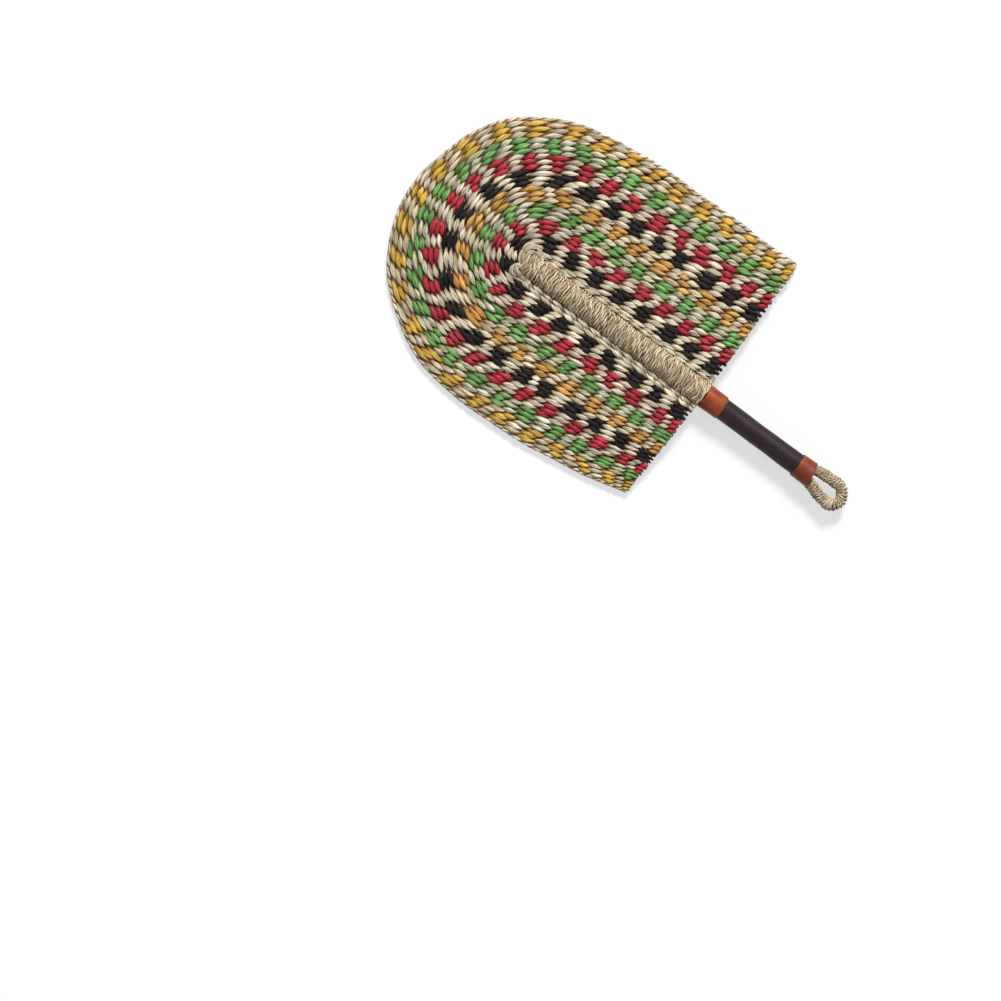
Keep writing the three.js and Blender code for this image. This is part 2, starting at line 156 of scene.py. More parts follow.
def blade_point(row, place, gaps):
    """The middle of the weave for arrays of rows and places, with that many stake gaps round the crown."""
    row, place = np.broadcast_arrays(np.asarray(row, float), np.asarray(place, float))
    left = place > LAST_CROSS + gaps / 2
    stake = np.where(left, left_hem(gaps) - place, place)
    on_leg = stake <= LAST_CROSS
    outer = out_share(row) ** 2
    lift = np.where(left, LEFT_RISE * outer, 0)
    height = FIRST_STAKE + STAKE_PITCH * stake + lift * (np.clip(stake, 0, LAST_CROSS) / LAST_CROSS) ** 2
    reach = crown_reach(row)
    right_end = np.arcsin(TOP_ABOVE_SHOULDER / reach)
    left_end = np.arcsin((TOP_ABOVE_SHOULDER + LEFT_RISE * outer) / reach)
    arc = right_end + (math.pi - right_end - left_end) * (place - LAST_CROSS) / gaps
    rise = np.arcsin(np.clip((height - SHOULDER) / reach, 0, 1))
    angle = np.where(on_leg, np.where(left, math.pi - rise, rise), arc)
    below = np.clip(1 - height / SHOULDER, 0, None)
    flare = np.where(left, -HEM_TUCK, HEM_FLARE) * (out_share(row) * below) ** 2
    swell = edge_swell(row, place, gaps, left, stake)
    x = np.cos(angle) * (side_reach(row, angle > math.pi / 2) + np.where(on_leg, flare, 0) + swell)
    y = np.where(on_leg & (height <= SHOULDER), height, SHOULDER + np.sin(angle) * (reach + swell))
    z = axis_height - RIM_DROP * outer
    return np.stack([x, y, z], axis=-1)


print("crown top of the last row", np.round(blade_point(ROWS, LAST_CROSS + OUTER_GAPS / 2, OUTER_GAPS), 1))

# %% [markdown]
# ## A strand is a rolled grid
# A strand of straw is a tube that swells, flattens and dives. A curve with a bevel has one section that
# only grows or shrinks. A grid operator gives more: one direction of the grid runs along the strand, the
# other is rolled round it, and each ring has its own width and thickness. The grid's own UV map follows the
# strand, which the fibres need later. The two long edges of the grid are merged, and the open ends are
# filled. A relief swells or sinks the skin: that is how folds are made.

# %% Roll, frame and finish a strand
STRAND_SIDES = 8
SEAM_SIDE, SEAM_GAP = 0.499, 1e-6


def unit(vectors):
    return vectors / np.linalg.norm(vectors, axis=1, keepdims=True)


def section(centre, outward):
    """Two directions at each ring of a strand: across its broad face, and out of that face."""
    along = unit(np.gradient(centre, axis=0))
    through = unit(outward - along * np.sum(outward * along, axis=1, keepdims=True))
    return np.cross(along, through), through


def roll_strand(bm, centre, outward, size, span, sides=STRAND_SIDES, material=0, relief=None):
    """Rolls a grid round a centre line. The size is its width and thickness, the span is for the UV map."""
    ways = zip(section(centre, outward), size)
    across, through = (way * np.reshape(reach, (-1, 1)) / 2 for way, reach in ways)
    first, last = span
    steps = len(centre) - 1
    uv = bm.loops.layers.uv.get("UVMap") or bm.loops.layers.uv.new("UVMap")
    grid = bmesh.ops.create_grid(bm, x_segments=steps, y_segments=sides, size=0.5, calc_uvs=True)
    verts = grid["verts"]
    flat = np.array([vert.co[:2] for vert in verts]) + 0.5
    ring = np.rint(flat[:, 0] * steps).astype(int)
    turn = TAU * flat[:, 1:] - math.pi / 2
    offset = across[ring] * np.cos(turn) + through[ring] * np.sin(turn)
    if relief is not None:
        offset = offset * (1 + relief(ring, turn[:, 0]))[:, None]
    for vert, place in zip(verts, to_frame(centre[ring] + offset)):
        vert.co = place
    for face in {face for vert in verts for face in vert.link_faces}:
        face.material_index = material
        face.smooth = True
        for loop in face.loops:
            loop[uv].uv.x = first + (last - first) * loop[uv].uv.x
    seam = [vert for vert, side in zip(verts, flat[:, 1]) if abs(side - 0.5) > SEAM_SIDE]
    bmesh.ops.remove_doubles(bm, verts=seam, dist=SEAM_GAP)


def add_object(name, data):
    """Puts a mesh, a lamp or a camera into the scene."""
    thing = bpy.data.objects.new(name, data)
    bpy.context.scene.collection.objects.link(thing)
    return thing


def add_piece(name, bm, finishes, slot, *stands_for):
    """Closes a bmesh, makes it a piece of the fan and hides the solids that it stands for."""
    bmesh.ops.holes_fill(bm, edges=[edge for edge in bm.edges if edge.is_boundary], sides=0)
    bmesh.ops.recalc_face_normals(bm, faces=bm.faces)
    mesh = bpy.data.meshes.new(name)
    bm.to_mesh(mesh)
    bm.free()
    for finish in finishes:
        mesh.materials.append(finish)
    piece = add_object(name, mesh)
    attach(piece, BODY)
    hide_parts(*stands_for)
    print(name, "has", sum(len(face.vertices) - 2 for face in mesh.polygons), "triangles")


# %% [markdown]
# ## Shader maths that reads like maths
# A material is a tree of nodes. Written node by node, a sum of three values takes nine lines. A small class
# that wraps a socket and knows what + and * mean turns it into one, and each operator adds its Math node
# behind the scenes. Colours never pass a Math node, which would turn them grey: they are mixed.

# %% A wrapped socket and a finish
def operator(operation, swapped=False):
    """A sum or product for Wire, which adds one Math node."""

    def combine(wire, other):
        return wire.finish.math(operation, *((other, wire) if swapped else (wire, other)))

    return combine


class Wire:
    """One output socket of a finish, which can be added and multiplied like a number."""

    def __init__(self, finish, socket):
        self.finish = finish
        self.socket = socket

    __add__ = __radd__ = operator("ADD")
    __mul__ = __rmul__ = operator("MULTIPLY")
    __sub__ = operator("SUBTRACT")
    __rsub__ = operator("SUBTRACT", swapped=True)


class Finish:
    """The nodes of a new material, or of a world, while they are being put together."""

    def __init__(self, name, world=None):
        self.owner = world or bpy.data.materials.new(name)
        self.owner.use_nodes = True
        self.nodes = self.owner.node_tree.nodes
        self.links = self.owner.node_tree.links

    def plug(self, socket, value):
        if isinstance(value, Wire):
            self.links.new(value.socket, socket)
        else:
            socket.default_value = value

    def plug_named(self, node, sockets):
        for label, value in sockets.items():
            self.plug(node.inputs[label.replace("_", " ")], value)

    def add(self, kind, settings, *values, out=0, **named):
        """Adds a node: settings first, then values or wires for its sockets by order or by name."""
        node = self.nodes.new(kind)
        for setting, value in settings.items():
            setattr(node, setting, value)
        for socket, value in zip(node.inputs, values):
            self.plug(socket, value)
        self.plug_named(node, named)
        return Wire(self, node.outputs[out])

    def math(self, operation, *values):
        return self.add("ShaderNodeMath", {"operation": operation}, *values)

    def noise(self, place, scale, detail=3.0, roughness=0.55):
        return self.add("ShaderNodeTexNoise", {}, place, Scale=scale, Detail=detail, Roughness=roughness)

    def fibre_noise(self, angle, radius, along, detail=3.0, roughness=0.55):
        """Noise on a cylinder, where the end of a turn meets its start. A wide one gives thin fibres."""
        across, up = (self.math(way, angle) * radius for way in ("COSINE", "SINE"))
        return self.noise(self.vector(across, up, along), 1.0, detail, roughness)

    def spread(self, wire, low, high, to_low=0.0, to_high=1.0):
        """Stretches the part of a value between low and high over a new range, and holds it there."""
        return self.add("ShaderNodeMapRange", {}, wire, low, high, to_low, to_high)

    def blend(self, share, first, second, how="MIX"):
        """Mixes two colours. They are sockets 6 and 7: the ones before mix numbers and vectors."""
        mixed = self.add("ShaderNodeMix", {"data_type": "RGBA", "blend_type": how}, share, out=2)
        for place, surface in ((6, first), (7, second)):
            self.plug(mixed.socket.node.inputs[place], surface)
        return mixed

    def shade(self, surface, amount):
        """Darkens or lightens a colour by a wire."""
        return self.blend(1.0, surface, self.vector(amount, amount, amount), "MULTIPLY")

    def brown_shaded(self, surface, share):
        """Browns a share of a colour as painted shade."""
        return self.blend(share, surface, self.blend(1.0, surface, SHADE_BROWN, "MULTIPLY"))

    def vector(self, x, y, z):
        return self.add("ShaderNodeCombineXYZ", {}, x, y, z)

    def bump(self, height, strength, distance):
        return self.add("ShaderNodeBump", {}, Height=height, Strength=strength, Distance=distance)

    def object_place(self):
        """The place in the object's own coordinates."""
        return self.add("ShaderNodeTexCoord", {}, out=3)

    def strand_map(self):
        """The strand's UV map: the count along it, and the share of the way round it."""
        split = self.add("ShaderNodeSeparateXYZ", {}, self.add("ShaderNodeUVMap", {"uv_map": "UVMap"}))
        return split, Wire(self, split.socket.node.outputs[1])

    def dress(self, shader="Principled BSDF", **sockets):
        """Plugs wires and constants into the sockets of the shader, and gives the material."""
        self.plug_named(self.nodes[shader], sockets)
        return self.owner


# The brown of painted shade, multiplied into a colour.
SHADE_BROWN = (0.4, 0.28, 0.17, 1.0)


def rgb(red, green, blue):
    """A colour written as a screen shows it, 0 to 255, as the linear values that a shader works with."""
    shown = red / 255, green / 255, blue / 255
    return (*(c / 12.92 if c <= 0.04045 else ((c + 0.055) / 1.055) ** 2.4 for c in shown), 1.0)


print("mid grey is", round(rgb(128, 128, 128)[0], 3), "in linear light")

# %% [markdown]
# ## Straw
# The strands are split straw, moistened, folded and dyed before twining. Close up, a strand shows long
# fibres, a satin shine, and dye that took better on one fibre than on the next. A picture of straw would
# need unwrapping and would repeat. Noise on the strand's own UV map needs neither: the way round the strand
# is bent into a circle, so there is no seam, and the way along it is stretched into fibres.
#
# Each stitch has a tone of its own, from a slow noise that never steps, so it looks right from the back
# too. The UV map counts stitches, so the distance to the nearest whole number is that from the middle of a
# stitch. Painted shade in brown darkens a strand where it turns under: on its flanks, and the more towards
# the ends of a stitch. A bright pointed spindle is left.

# %% The straw finish
FIBRE_SLANT = 0.11
SHINE, BLACK_SHINE = 0.35, 0.1


def straw(name, main, pale, tint, tint_share, gloss=SHINE):
    """Straw of a main colour with pale fibres and a little of a tint here and there."""
    finish = Finish(name)
    along, around = finish.strand_map()
    slant = (around + along * FIBRE_SLANT) * TAU
    fibres = finish.fibre_noise(slant, radius=1.9, along=along * 1.1)
    fine = finish.fibre_noise(slant, radius=6.5, along=along * 2.6)
    patches = finish.fibre_noise(slant, radius=0.6, along=along * 1.3)
    splits = finish.fibre_noise(slant, radius=1.1, along=along * 0.7 + 5.0, detail=2.0)
    tone = finish.noise(finish.vector(along * 0.9, 3.1, 0.0), 1.0, 0.0)
    fade = finish.noise(finish.vector(along * 0.8, 9.4, 0.0), 1.0, 0.0)
    surface = finish.blend(finish.spread(fibres, 0.45, 0.7, 0.0, 0.75), main, pale)
    surface = finish.blend(finish.spread(fade, 0.5, 0.8, 0.0, 0.35), surface, pale)
    surface = finish.blend(finish.spread(patches, 0.45, 0.68, 0.0, tint_share), surface, tint)
    flank = finish.math("ABSOLUTE", finish.math("SINE", around * TAU))
    dive = finish.math("ABSOLUTE", along - finish.math("ROUND", along))
    # Painted shade: the flanks and the ends of a stitch, where the strand turns under, are browned.
    surface = finish.brown_shaded(surface, finish.spread(flank + dive * 0.4, 0.84, 1.16))
    shade = finish.spread(tone, 0.25, 0.75, 0.72, 1.14) * finish.spread(fine, 0.32, 0.62, 0.7, 1.08)
    surface = finish.shade(surface, shade * finish.spread(fibres, 0.36, 0.54, 0.66, 1.04))
    surface = finish.shade(surface, finish.spread(splits, 0.4, 0.58, 0.7, 1.24))
    rough = finish.spread(fine, 0.3, 0.7, 0.42, 0.68)
    normal = finish.bump(fibres * 0.9 + fine * 0.45 + splits * 0.6, strength=0.8, distance=0.5 * MM)
    return finish.dress(Base_Color=surface, Roughness=rough, Normal=normal, Specular_IOR_Level=gloss)


DYES = {
    "black": (rgb(26, 23, 24), rgb(64, 58, 58), rgb(224, 206, 174)),
    "red": (rgb(186, 18, 40), rgb(204, 72, 86), rgb(206, 188, 156)),
    "green": (rgb(100, 160, 72), rgb(164, 204, 128), rgb(186, 180, 138)),
    "ochre_inner": (rgb(218, 156, 62), rgb(236, 196, 126), rgb(212, 188, 146)),
    "ochre_outer": (rgb(228, 176, 56), rgb(240, 206, 116), rgb(206, 184, 146)),
}
BRIGHT, BURNT = rgb(255, 248, 230), rgb(44, 30, 26)
dyed, cream = {}, {}
for dye, (main, pale, beside) in DYES.items():
    gloss, stain = (BLACK_SHINE, 0.06) if dye == "black" else (SHINE, 0.13)
    dyed[dye] = straw(f"straw_{dye}", main, pale, BURNT, 0.25, gloss)
    cream[dye] = straw(f"straw_cream_by_{dye}", beside, BRIGHT, main, stain)
natural_straw = straw("straw_natural", rgb(212, 196, 160), BRIGHT, rgb(150, 126, 86), 0.35)
head_straw = straw("straw_head", rgb(194, 172, 134), BRIGHT, rgb(132, 106, 68), 0.6)
rim_straw = straw("straw_rim", rgb(232, 212, 180), BRIGHT, rgb(168, 134, 94), 0.4)
# Dark straw for the ribbons inside the rows: painted shade between the stitches.
shade_ribbon_finish = straw("straw_painted_shade", rgb(84, 64, 40), rgb(122, 96, 64), rgb(52, 38, 24), 0.5)
print("straw finishes:", len(dyed) + len(cream) + 4)

# %% [markdown]
# ## Twining
# A twined row is a pair of strands. At each stake one passes in front and the other behind, and in the gap
# after it they change places with half a twist. So each strand is a helix, one turn for two stakes. Its
# broad side always faces away from the stake, which makes it wide on the stake and narrow in the gap: the
# pointed stitches of the pattern come from this alone. The stitch could be one small mesh copied a thousand
# times. A whole strand costs as many faces, runs on behind the stakes as the real one does, and has no
# loose ends.
#
# Two things keep it from looking like machine work. Rows and stitches wander a little together, because
# each row is pushed against the one before it, and each strand adds its own small slips, swellings and
# folds.

# %% Wandering
ROW_WANDER, STITCH_WANDER, STITCH_SLIP = 0.3, 0.4, 0.55
CALM_NEAR_HEM = 3


def hills(x, y, z):
    """Smooth noise at places whose coordinates are given as numbers or arrays."""
    places = zip(*(np.ravel(values) for values in np.broadcast_arrays(x, y, z)))
    return np.array([noise.noise(Vector(place)) for place in places])


def drift(seed, values, size):
    """Slow, repeatable wandering, one number for each value."""
    return size * hills(values, seed, 0.37 * seed)


def wandered(row, places, gaps):
    """The row numbers and places that a strand really has, shared with its neighbours. The hem stays."""
    pushed = hills(0.22 * row, 0.33 * places, 4.7)
    slid = hills(0.31 * row, 0.27 * places, 9.1)
    slipped = hills(7.7 * row, 0.45 * places, 2.9)
    from_hem = np.clip(np.minimum(places, left_hem(gaps) - places) + 1, 0, CALM_NEAR_HEM) / CALM_NEAR_HEM
    return row + ROW_WANDER * pushed, places + from_hem * (STITCH_WANDER * slid + STITCH_SLIP * slipped)


print("rows wander by less than", ROW_WANDER, "of the way to the next row")

# %% [markdown]
# At the hem the strands end. A dyed strand in front of the first stake reaches the hem in one long stitch.
# One in front of the second stake has a short further stitch below the first. The strands stop in the
# middle of a half twist, so both of a row can be seen side by side. The hem is ragged by a fraction of a
# millimetre, and rises towards the sides of the blade.

# %% Where strands end at the hem
STEPS_PER_STITCH = 8
LONG_END, SHORT_END = -1.0, -1.52
LONG_KNOT, SHORT_KNOT = 0.5, 1.0
LONG_REST, SHORT_REST, REST_SLACK = -0.4, -1.36, 0.3
RIGHT_HEM_RISE, LEFT_HEM_RISE = 1.2, 3.4
HEM_HEIGHT, HEM_RAGGED = 0.1, 1.0


def hem_places(count, row, last, short, seed):
    """Squeezes the counts near both ends of a strand so that it stops at the hem."""
    end, knot = (SHORT_END, SHORT_KNOT) if short else (LONG_END, LONG_KNOT)
    place = count.copy()
    for left, rise in ((False, RIGHT_HEM_RISE), (True, LEFT_HEM_RISE)):
        from_end = last - count if left else count
        ragged = HEM_RAGGED * hills(seed, 1.9 * seed, float(left))
        stop = (HEM_HEIGHT + ragged + rise * out_share(row) ** 1.5 - FIRST_STAKE) / STAKE_PITCH
        squeezed = knot - (knot - from_end) * (knot - stop) / (knot - end)
        place = np.where(from_end < knot, last - squeezed if left else squeezed, place)
    return place


def resting(count, last, short, seed):
    """The counts that set the twist: they stop a little before each end, where the twist is at rest."""
    rest = SHORT_REST if short else LONG_REST
    slack = REST_SLACK * hills(seed, 0.7, (2.3, 7.9))
    return np.clip(count, rest + slack[0], last - rest + slack[1])


def strand_counts(gaps, short):
    """The counts along a whole strand, from hem to hem."""
    end = SHORT_END if short else LONG_END
    return np.linspace(end, left_hem(gaps) - end, round((left_hem(gaps) - 2 * end) * STEPS_PER_STITCH) + 1)


print("a strand of the outer band has", len(strand_counts(OUTER_GAPS, False)), "rings")

# %% [markdown]
# The strand's path is built from three directions at each ring: ahead along the row, away from the stakes,
# and sideways to the next row, with a scale where the rows lie further apart. The turn of the helix says
# how much of each the strand has there. Sideways it swings most between two stakes, where the strands of a
# pair pass each other. A sine would bend each stitch into an S, and a stitch pulled tight is straight, so
# the swing is a zigzag. The strand narrows where it passes its partner, and long points are left.
#
# Between the points one looks into the row, where it lies in shade. A flat dark ribbon inside each row
# closes the weave, and its dark colour is painted shade. Each strand starts at another number of its UV
# map, so that no two look alike.

# %% One strand of a twined row
STRAND_DEPTH, STRAND_THICKNESS = 1.95, 2.6
PLACE_STEP, ROW_STEP = 0.02, 0.05
DIVE, TILT_OUT, TILT_ASIDE = 0.85, 1.6, 0.8
ZIGZAG = 0.97
CROSSING_REACH, FULLNESS, UNEVEN = 2.2, 0.95, 0.24
INNER_END, INNER_STEPS, INNER_THICKNESS = -0.48, 3, 0.5
HEM_SLANT, HEM_SLANT_REACH, HEM_THINNING = 0.7, 1.1, 0.3
TIP, TIP_TAPER = 0.2, 0.3
UV_PER_ROW = 60


def twined_path(row, count, place, gaps, turn, depth, swing, seed):
    """Centre line of a strand, with the directions that its section needs."""
    rows, places = wandered(row, place, gaps)
    ahead = blade_point(rows, places + PLACE_STEP, gaps) - blade_point(rows, places - PLACE_STEP, gaps)
    aside = blade_point(rows + ROW_STEP, places, gaps) - blade_point(rows - ROW_STEP, places, gaps)
    normal = unit(np.cross(aside, ahead))
    side = unit(np.cross(ahead, normal))
    facing = np.cos(turn)
    rise = np.sign(facing) * np.abs(facing) ** DIVE * (depth + drift(seed + 20, count, 0.35))
    scale = np.linalg.norm(aside, axis=1) / (2 * ROW_STEP) / RIGHT_PITCH
    centre = blade_point(rows, places, gaps) - side * (swing * scale)[:, None] + normal * rise[:, None]
    away = normal * (facing * TILT_OUT)[:, None] - side * (np.sin(turn) * TILT_ASIDE)[:, None]
    return centre, away, scale


def folds(phase, depth=0.07):
    """Lengthwise folds of a split straw."""
    return lambda ring, turn: depth * np.cos(3 * turn + phase[ring])


def lean(turn):
    """The sideways swing of a strand as a zigzag from -1 to 1 with slightly rounded corners."""
    return np.arcsin(ZIGZAG * np.sin(turn)) / math.asin(ZIGZAG)


def twined_strand(bm, row, gaps, lag, short, width, reach, material):
    """One of the two strands of a row. With a lag of 0 it lies in front of the even stakes."""
    last = left_hem(gaps)
    count = strand_counts(gaps, short)
    row_seed = 7.3 * row
    seed = row_seed + 3.1 * lag + 0.5
    place = hem_places(count, row, last, short, seed)
    from_hem = np.minimum(place, last - place) - place.min()
    from_tip = np.minimum(count - count[0], count[-1] - count)
    tip = np.clip(1 - from_tip / TIP, 0, 1)
    turn = math.pi * (resting(count, last, short, row_seed) - lag)
    near_hem = np.exp(-from_hem / HEM_SLANT_REACH)
    swing = lean(turn) * reach * (1 + HEM_SLANT * near_hem) * (1 + drift(seed + 60, count * 0.5, 0.4))
    swing = swing + drift(row_seed, count * 0.9, 0.2)
    centre, away, scale = twined_path(row, count, place, gaps, turn, STRAND_DEPTH, swing, seed)
    front = np.abs(np.cos(turn)) ** FULLNESS
    crossing = 2 * (CROSSING_REACH - reach)
    breadth = crossing + (width * (1 - HEM_THINNING * near_hem) - crossing) * front
    breadth = breadth * scale * (1 - TIP_TAPER * tip**2) * (1 + drift(seed + 40, count * 1.4, UNEVEN))
    thickness = (STRAND_THICKNESS * scale - 0.1 * front) * (1 - 0.4 * tip**2)
    first = UV_PER_ROW * (row + NATURAL_ROWS + lag / 2)
    span = first + count[0], first + count[-1]
    relief = folds(drift(seed + 80, count * 0.7, 9))
    roll_strand(bm, centre, away, (breadth, thickness), span, material=material, relief=relief)


def shade_ribbon(bm, row, gaps, width, start, stop, on_left, material):
    """A flat dark ribbon inside a row, painted shade. Places are counted from the right hem or the left."""
    place = np.linspace(start, stop, round((stop - start) * INNER_STEPS) + 1)
    if on_left:
        place = left_hem(gaps) - place
    level = 0 * place
    centre, away, scale = twined_path(row, place, place, gaps, level, 0, level, row)
    roll_strand(bm, centre, away, (width * scale, INNER_THICKNESS), (0, 9), sides=4, material=material)


# %% [markdown]
# ## Eight check bands
# Three rows with the same dyed strand and the same start make a band, and their stitches line up into
# blocks. The dyed strand of black and green starts on the even stakes and that of red and ochre on the odd
# ones, so that blocks of neighbouring bands sit side by side like a chequerboard. The bands grow longer
# outwards and need more stakes round the crown, as many as their blocks ask for. The last number is the
# swing to either side: some bands were pulled tighter, so their stitches lean less.

# %% Twine the bands
ROWS_PER_BAND = 3
BANDS = [
    ("black_inner", "black", 6, 0, 1.24),
    ("red_inner", "red", 10, 1, 1.16),
    ("green_inner", "green", 12, 0, 0.98),
    ("ochre_inner", "ochre_inner", 14, 1, 1.02),
    ("black_outer", "black", 16, 0, 1.24),
    ("red_outer", "red", 22, 1, 1.2),
    ("green_outer", "green", 24, 0, 1.04),
    ("ochre_outer", "ochre_outer", 24, 1, 0.98),
]
STITCH_WIDTH, INNER_WIDTH = 4.6, 4.7
for number, (name, dye, gaps, lag, reach) in enumerate(BANDS):
    band = bmesh.new()
    for row in range(ROWS_PER_BAND):
        middle = number * ROWS_PER_BAND + row + 0.5
        for strand in (0, 1):
            twined_strand(band, middle, gaps, lag + strand, lag == 1, STITCH_WIDTH, reach, strand)
        shade_ribbon(band, middle, gaps, INNER_WIDTH, INNER_END, left_hem(gaps) - INNER_END, False, 2)
    slot = "ochre_straw" if dye.startswith("ochre") else f"{dye}_straw"
    add_piece(f"twined_{name}", band, [dyed[dye], cream[dye], shade_ribbon_finish], slot, f"weft_{name}")

# %% [markdown]
# ## A smooth path through points
# The plain rows bend in over the head of the spine, and the hanging loop is a bent bundle. Both follow a
# few given points. A Catmull-Rom curve goes through all its points without overshooting when its knots
# are spaced by the square root of their distance.

# %% A smooth path
def sampled(path, places, wanted):
    """The points of a path at the wanted places."""
    return np.stack([np.interp(wanted, places, axis) for axis in path.T], axis=-1)


def smooth_path(points, steps):
    """A smooth curve through the points, with even steps along it."""
    points = np.asarray(points, float)
    ends = np.vstack([2 * points[0] - points[1], points, 2 * points[-1] - points[-2]])
    pieces = []
    for a, b, c, d in zip(ends, ends[1:], ends[2:], ends[3:]):
        t1 = np.linalg.norm(b - a) ** 0.5
        t2 = t1 + np.linalg.norm(c - b) ** 0.5
        t3 = t2 + np.linalg.norm(d - c) ** 0.5
        t = np.linspace(t1, t2, 40)[:, None]
        ab = ((t1 - t) * a + t * b) / t1
        bc = ((t2 - t) * b + (t - t1) * c) / (t2 - t1)
        cd = ((t3 - t) * c + (t - t2) * d) / (t3 - t2)
        abc = ((t2 - t) * ab + t * bc) / t2
        bcd = ((t3 - t) * bc + (t - t1) * cd) / (t3 - t1)
        pieces.append(((t2 - t) * abc + (t - t1) * bcd) / (t2 - t1))
    path = np.vstack(pieces)
    length = np.concatenate([[0], np.cumsum(np.linalg.norm(np.diff(path, axis=0), axis=1))])
    return sampled(path, length, np.linspace(0, length[-1], steps + 1))


# %% [markdown]
# ## Twisted cord
# The spine and the loop are bound with cord, two straws twisted together. Its turns are not smooth bands:
# each shows a row of slanted bumps with dark grooves between them. A relief on one strand would only hint
# at that, so both plies are made, each a strand that winds round the middle of the cord. Their finish
# browns the side that faces the other ply as painted shade.

# %% Cord
PLY_WIDTH, PLY_THICKNESS, PLY_LAY = 2.1, 1.9, 0.54


def twisted_straw(name, main, pale, deep, stretch):
    """Finish for plies. The stretch says how many ply lengths lie in one unit of the UV map."""
    finish = Finish(name)
    along, around = finish.strand_map()
    turn = around * TAU
    fibres = finish.fibre_noise(turn, radius=1.6, along=along * stretch * 0.8, detail=4.0)
    fine = finish.fibre_noise(turn, radius=5, along=along * stretch * 2.4, detail=4.0, roughness=0.6)
    patches = finish.fibre_noise(turn, radius=0.5, along=along * stretch * 1.1)
    inner = finish.math("ABSOLUTE", around - 0.5) * 2
    surface = finish.blend(finish.spread(fibres, 0.38, 0.66), main, pale)
    surface = finish.blend(finish.spread(patches, 0.46, 0.66, 0.0, 0.8), surface, deep)
    # Painted shade: the side of a ply that faces the other ply is browned.
    surface = finish.brown_shaded(surface, finish.spread(inner, 0.3, 0.72))
    surface = finish.shade(surface, finish.spread(fine, 0.3, 0.62, 0.7, 1.1))
    rough = finish.spread(fine, 0.3, 0.7, 0.45, 0.7)
    normal = finish.bump(fibres * 0.6 + fine * 0.6, strength=0.8, distance=0.4 * MM)
    return finish.dress(Base_Color=surface, Roughness=rough, Normal=normal, Specular_IOR_Level=SHINE)


def twisted_cord(bm, centre, outward, twist, thickness, ply, sides, last):
    """Two plies round a centre line. The twist is an angle for each ring, the ply the size of both."""
    across, out = section(centre, outward)
    for half_turn in (0, math.pi):
        angle = (twist + half_turn)[:, None]
        offset = out * np.cos(angle) + across * np.sin(angle)
        size = PLY_WIDTH * (ply * thickness), PLY_THICKNESS * (ply * thickness)
        middle = centre + offset * (PLY_LAY * thickness)[:, None]
        roll_strand(bm, middle, offset, size, (half_turn, last + half_turn), sides)


def wander(angle, count, seed, sharp, size, stretch=0.45):
    """Wandering round a winding that neighbouring turns share in part."""
    return size * hills(np.cos(angle) * sharp, np.sin(angle) * sharp, count * stretch + seed)


SPINE_TWISTS, LOOP_TWISTS = 3.2, 3.0
wrap_tones = rgb(212, 188, 148), rgb(255, 244, 216), rgb(120, 92, 56)
loop_tones = rgb(182, 158, 122), rgb(238, 224, 198), rgb(90, 64, 38)
wrap_straw = twisted_straw("straw_wrap", *wrap_tones, SPINE_TWISTS)
loop_straw = twisted_straw("straw_loop", *loop_tones, LOOP_TWISTS)
print("cord finishes: 2")

# %% [markdown]
# ## Plain rows beside the spine, and the rim
# Two thin rows of undyed straw run up each side of the spine, twined like the bands. At its head they bend
# in over it, one above the other, and all go down into the same notch a little left of the middle. Each is
# drawn there as a short strand over points, whose third number is the height over the middle of the weave.
# The straw is pinched here and there like a stitch.

# %% Plain rows
HEAD_GAPS = 6
HEAD_TOP, LEG_TOP = LAST_CROSS + HEAD_GAPS / 2, 14.5
PLAIN_ROWS, PLAIN_WIDTHS = (-1.56, -0.5), {"right": 3.7, "left": 4.5}
PLAIN_DEPTH, PLAIN_THICKNESS, PLAIN_SWING, PLAIN_WAIST = 1.7, 2, 0.8, 0.62
INNER_SHIFT, PLAIN_INNER = 0.15, 14
ARC_STEPS, ARC_WIDTH, ARC_THICKNESS = 40, 5.4, 2
ARC_STITCHES, ARC_WAIST, ARC_BELLY = 2.4, 0.4, 1.4
HEAD_MIDDLE, HEAD_SPREAD = 168, 0.05
HEAD_ARCS = {
    "right": [
        [(10.4, 164, 0), (10.6, 170, 4), (8.4, 174.4, 6.2), (4, 174.8, 7.2), (-0.6, 173, 7.4),
         (-3.2, 171, 6)],
        [(13.4, 165, 0), (13.6, 173, 3), (10.8, 178, 5), (6, 178.4, 6.4), (0.4, 176.4, 7),
         (-3.6, 172.4, 6)],
        [(15.6, 166, 0), (15.4, 174.6, 2), (12.2, 179.6, 3), (7, 180.8, 4), (1.4, 179.2, 5),
         (-3.6, 175.4, 5.6), (-4.2, 173, 4.6)],
    ],
    "left": [
        [(-10.8, 162, 0), (-11.2, 170.4, 3.6), (-10, 175.4, 5.2), (-7, 176.2, 6), (-4.4, 172.6, 6)],
        [(-14.2, 164, 0), (-14.6, 173, 2.6), (-12.8, 178.2, 3.6), (-8.8, 179.4, 4.6), (-5.4, 176.4, 5.2),
         (-4.4, 173, 4.6)],
    ],
}


